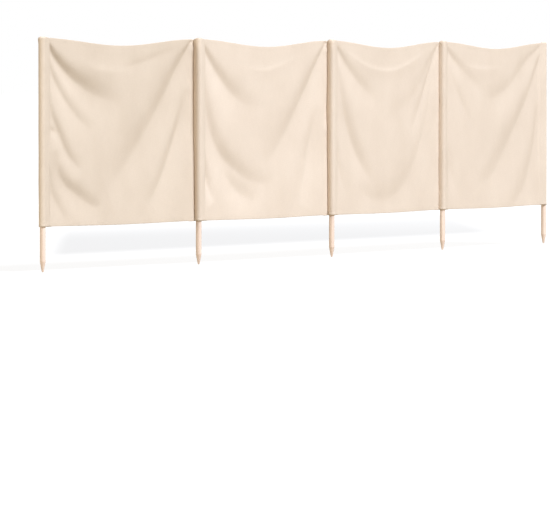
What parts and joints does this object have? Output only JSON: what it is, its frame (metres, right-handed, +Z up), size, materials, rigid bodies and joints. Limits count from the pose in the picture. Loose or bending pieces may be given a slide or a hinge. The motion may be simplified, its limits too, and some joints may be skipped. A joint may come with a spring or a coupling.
{
  "type": "beach windbreak",
  "caption": "Standing beach windbreak: bays of plain natural canvas in a row, held upright by pointed wooden poles in sewn pockets.",
  "frame": {"origin": "blunt tip of the middle pole's point, where it meets the ground before it is pushed in", "axes": "+X along the row from its left end to its right end, -Y the front where the pole pockets stand proud of the cloth, +Z up"},
  "size_m": [4.9754, 0.1318, 1.0012],
  "materials": {
    "pole_wood": "smooth sanded light timber, unvarnished",
    "canvas": "natural unbleached plain-weave cotton canvas, matt"
  },
  "bodies": {
    "root": {"bottom_hem_1": "canvas", "bottom_hem_2": "canvas", "bottom_hem_3": "canvas", "bottom_hem_4": "canvas", "panel_1": "canvas", "panel_2": "canvas", "panel_3": "canvas", "panel_4": "canvas", "pole_1": "pole_wood", "pole_2": "pole_wood", "pole_3": "pole_wood", "pole_4": "pole_wood", "pole_5": "pole_wood", "sleeve_1": "canvas", "sleeve_2": "canvas", "sleeve_3": "canvas", "sleeve_4": "canvas", "sleeve_5": "canvas", "sleeve_cap_1": "canvas", "sleeve_cap_2": "canvas", "sleeve_cap_3": "canvas", "sleeve_cap_4": "canvas", "sleeve_cap_5": "canvas", "top_hem_1": "canvas", "top_hem_2": "canvas", "top_hem_3": "canvas", "top_hem_4": "canvas"}
  },
  "joints": []
}
